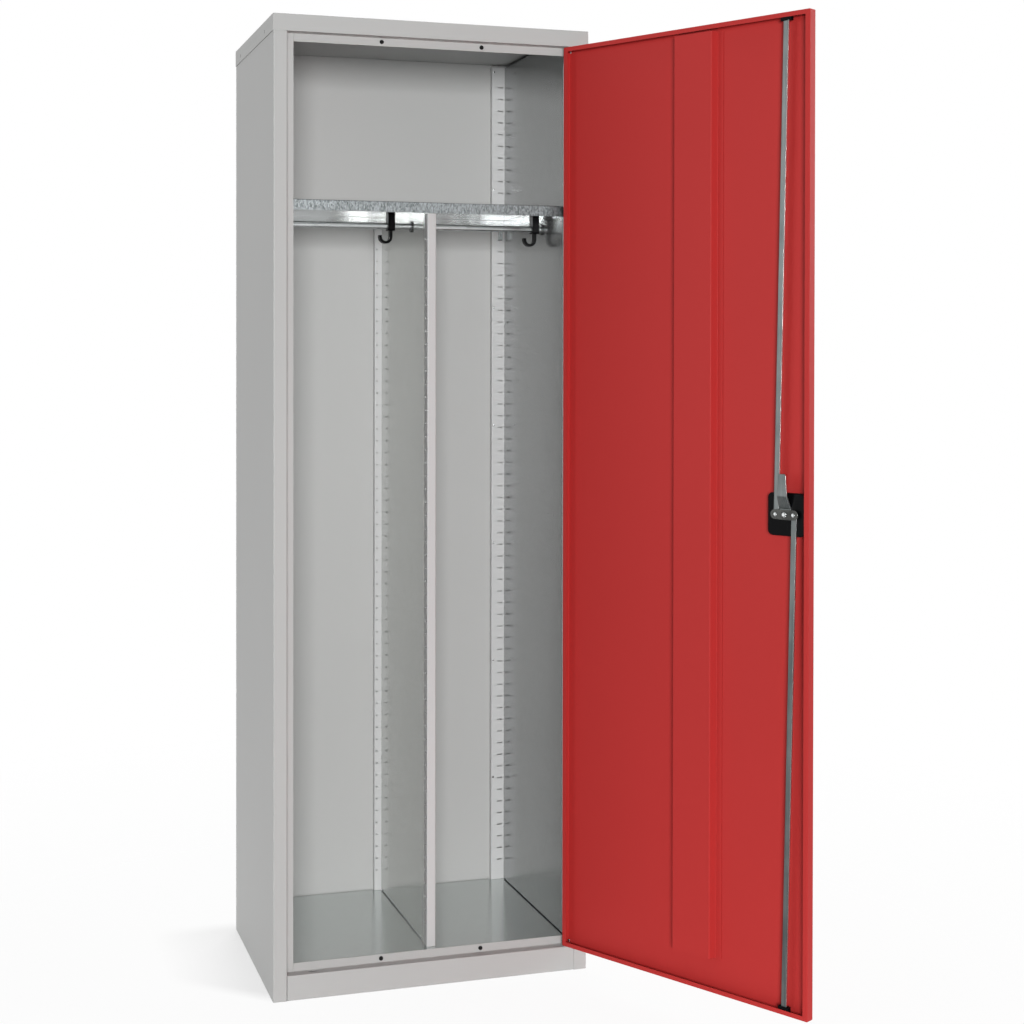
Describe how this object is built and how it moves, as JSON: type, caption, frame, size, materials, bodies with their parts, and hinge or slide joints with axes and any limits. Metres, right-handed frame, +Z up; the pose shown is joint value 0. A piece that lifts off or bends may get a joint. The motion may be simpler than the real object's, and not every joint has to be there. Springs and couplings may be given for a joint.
{
  "type": "clothing locker",
  "caption": "Tall sheet-steel clothing locker with a hinged door, three-point turn lock, hat shelf, divider, hanging rails and sliding coat hooks.",
  "frame": {"origin": "on the floor, at mid-width, in the front plane of the posts", "axes": "+X to the right as seen from the front, +Y from the front to the back, +Z up"},
  "size_m": [0.8426, 0.9031, 1.8],
  "materials": {
    "grey_paint": "satin powder coat",
    "galvanised_sheet": "galvanised, fine spangle",
    "red_paint": "satin powder coat",
    "zinc_plated_steel": "bright zinc plate",
    "black_plastic": "moulded, satin",
    "black_rubber": "matt",
    "pale_nylon": "turned, satin"
  },
  "bodies": {
    "carcass": {"left_side_panel": "grey_paint", "right_side_panel": "grey_paint", "back_panel": "grey_paint", "top_cap": "grey_paint", "header_rail": "grey_paint", "plinth": "grey_paint", "left_rear_upright": "grey_paint", "right_rear_upright": "grey_paint", "divider_front_post": "grey_paint", "divider_rear_post": "grey_paint", "floor_pan": "galvanised_sheet", "left_liner": "galvanised_sheet", "right_liner": "galvanised_sheet", "divider_sheet": "galvanised_sheet", "hat_shelf": "galvanised_sheet", "left_shelf_clip": "zinc_plated_steel", "right_shelf_clip": "zinc_plated_steel", "left_rail": "zinc_plated_steel", "right_rail": "zinc_plated_steel", "left_inner_rail_socket": "zinc_plated_steel", "left_outer_rail_socket": "zinc_plated_steel", "right_inner_rail_socket": "zinc_plated_steel", "right_outer_rail_socket": "zinc_plated_steel", "upper_hinge_pin": "zinc_plated_steel", "lower_hinge_pin": "zinc_plated_steel", "lower_left_buffer": "black_rubber", "lower_right_buffer": "black_rubber", "upper_left_buffer": "black_rubber", "upper_right_buffer": "black_rubber"},
    "left_hook": {"left_coat_hook": "black_plastic"},
    "right_hook": {"right_coat_hook": "black_plastic"},
    "door": {"door_panel": "red_paint", "door_stiffener": "red_paint", "upper_hinge_bush": "pale_nylon", "lower_hinge_bush": "pale_nylon", "upper_rod_guide": "black_plastic", "lower_rod_guide": "black_plastic", "lock_dish": "black_plastic", "lock_cover": "black_plastic"},
    "lock": {"turn_grip": "black_plastic", "lock_spindle": "zinc_plated_steel", "cam_plate": "zinc_plated_steel", "upper_rod_pin": "zinc_plated_steel", "lower_rod_pin": "zinc_plated_steel", "hub_screw": "zinc_plated_steel", "latch_tongue": "zinc_plated_steel"},
    "barrel": {"key_barrel": "zinc_plated_steel"},
    "upper_lock_rod": {"upper_rod": "zinc_plated_steel"},
    "lower_lock_rod": {"lower_rod": "zinc_plated_steel"}
  },
  "joints": [
    {"name": "left_hook_slide", "type": "slide", "parent": "carcass", "child": "left_hook", "axis": [1, 0, 0], "range_m": [-0.2, 0.03]},
    {"name": "right_hook_slide", "type": "slide", "parent": "carcass", "child": "right_hook", "axis": [1, 0, 0], "range_m": [-0.226, 0.005]},
    {"name": "door_swing", "type": "hinge", "parent": "carcass", "child": "door", "pos_m": [0.2702, 0.004, 0.9075], "axis": [0, 0, 1], "range_deg": [-119, 3]},
    {"name": "lock_turn", "type": "hinge", "parent": "door", "child": "lock", "pos_m": [0.5145, -0.42848, 0.9075], "axis": [0.8746, 0.4848, 0], "range_deg": [0, 90]},
    {"name": "key_turn", "type": "hinge", "parent": "lock", "child": "barrel", "pos_m": [0.5145, -0.42848, 0.9075], "axis": [0.8746, 0.4848, 0], "range_deg": [0, 90]},
    {"name": "upper_rod_link", "type": "hinge", "parent": "lock", "child": "upper_lock_rod", "pos_m": [0.49345, -0.41958, 0.9075], "axis": [0.8746, 0.4848, 0], "range_deg": [-91.1, 0]},
    {"name": "lower_rod_link", "type": "hinge", "parent": "lock", "child": "lower_lock_rod", "pos_m": [0.5109, -0.45106, 0.9075], "axis": [0.8746, 0.4848, 0], "range_deg": [-91.1, 0]}
  ],
  "couplings": [
    {"joint": "upper_rod_link", "follows": "lock_turn", "ratio": -1.0115},
    {"joint": "lower_rod_link", "follows": "lock_turn", "ratio": -1.0115}
  ]
}
